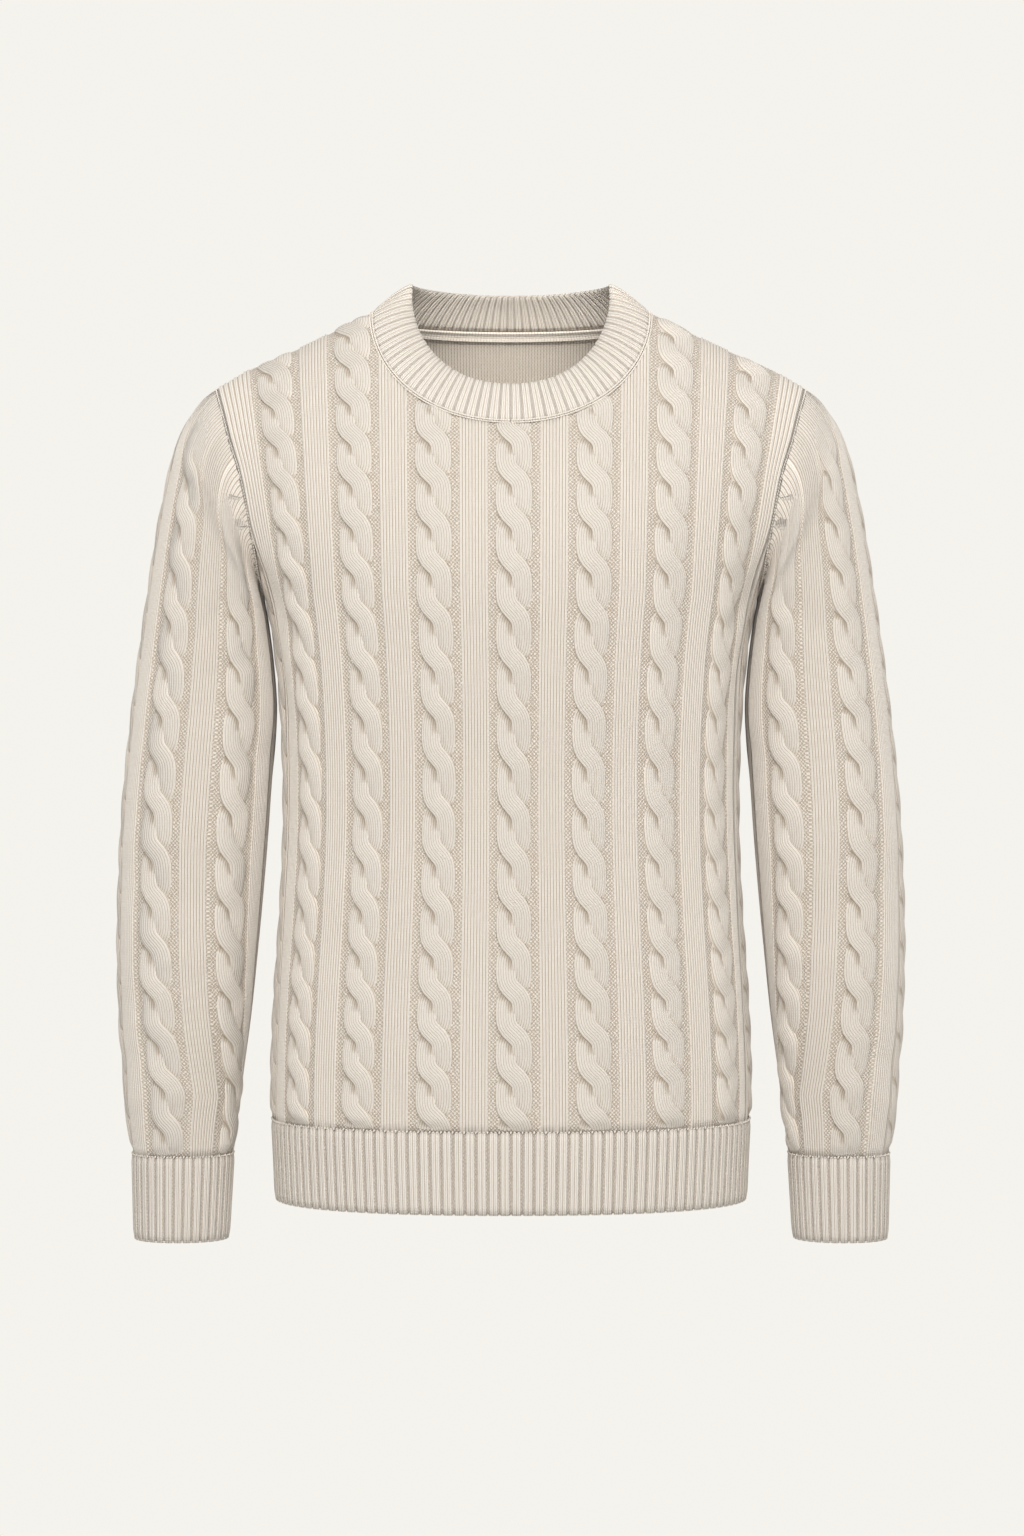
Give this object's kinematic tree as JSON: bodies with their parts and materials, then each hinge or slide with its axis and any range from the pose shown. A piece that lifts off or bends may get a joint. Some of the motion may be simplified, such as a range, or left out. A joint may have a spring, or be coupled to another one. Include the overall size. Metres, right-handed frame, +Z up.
{
  "type": "cable knit sweater",
  "caption": "Long-sleeved crew-neck pullover in cream cable knit, filled out as if worn, with ribbed neck, hem and cuffs; hollow and open below.",
  "frame": {"origin": "midway between the highest points of the two shoulder lines, where a wearer's neck comes through", "axes": "+Z up, +X towards the viewer's right when the front is seen (the wearer's left), -Y out of the front"},
  "size_m": [0.5909, 0.266, 0.7157],
  "materials": {
    "cream_knit": "matte",
    "cream_rib": "matte",
    "cream_tape": "matte"
  },
  "bodies": {
    "root": {"front_panel": "cream_knit", "back_panel": "cream_knit", "sleeve_left": "cream_knit", "sleeve_right": "cream_knit", "neck_collar": "cream_rib", "hem_rib_front": "cream_rib", "hem_rib_back": "cream_rib", "cuff_left": "cream_rib", "cuff_right": "cream_rib", "neck_tape": "cream_tape"}
  },
  "joints": []
}
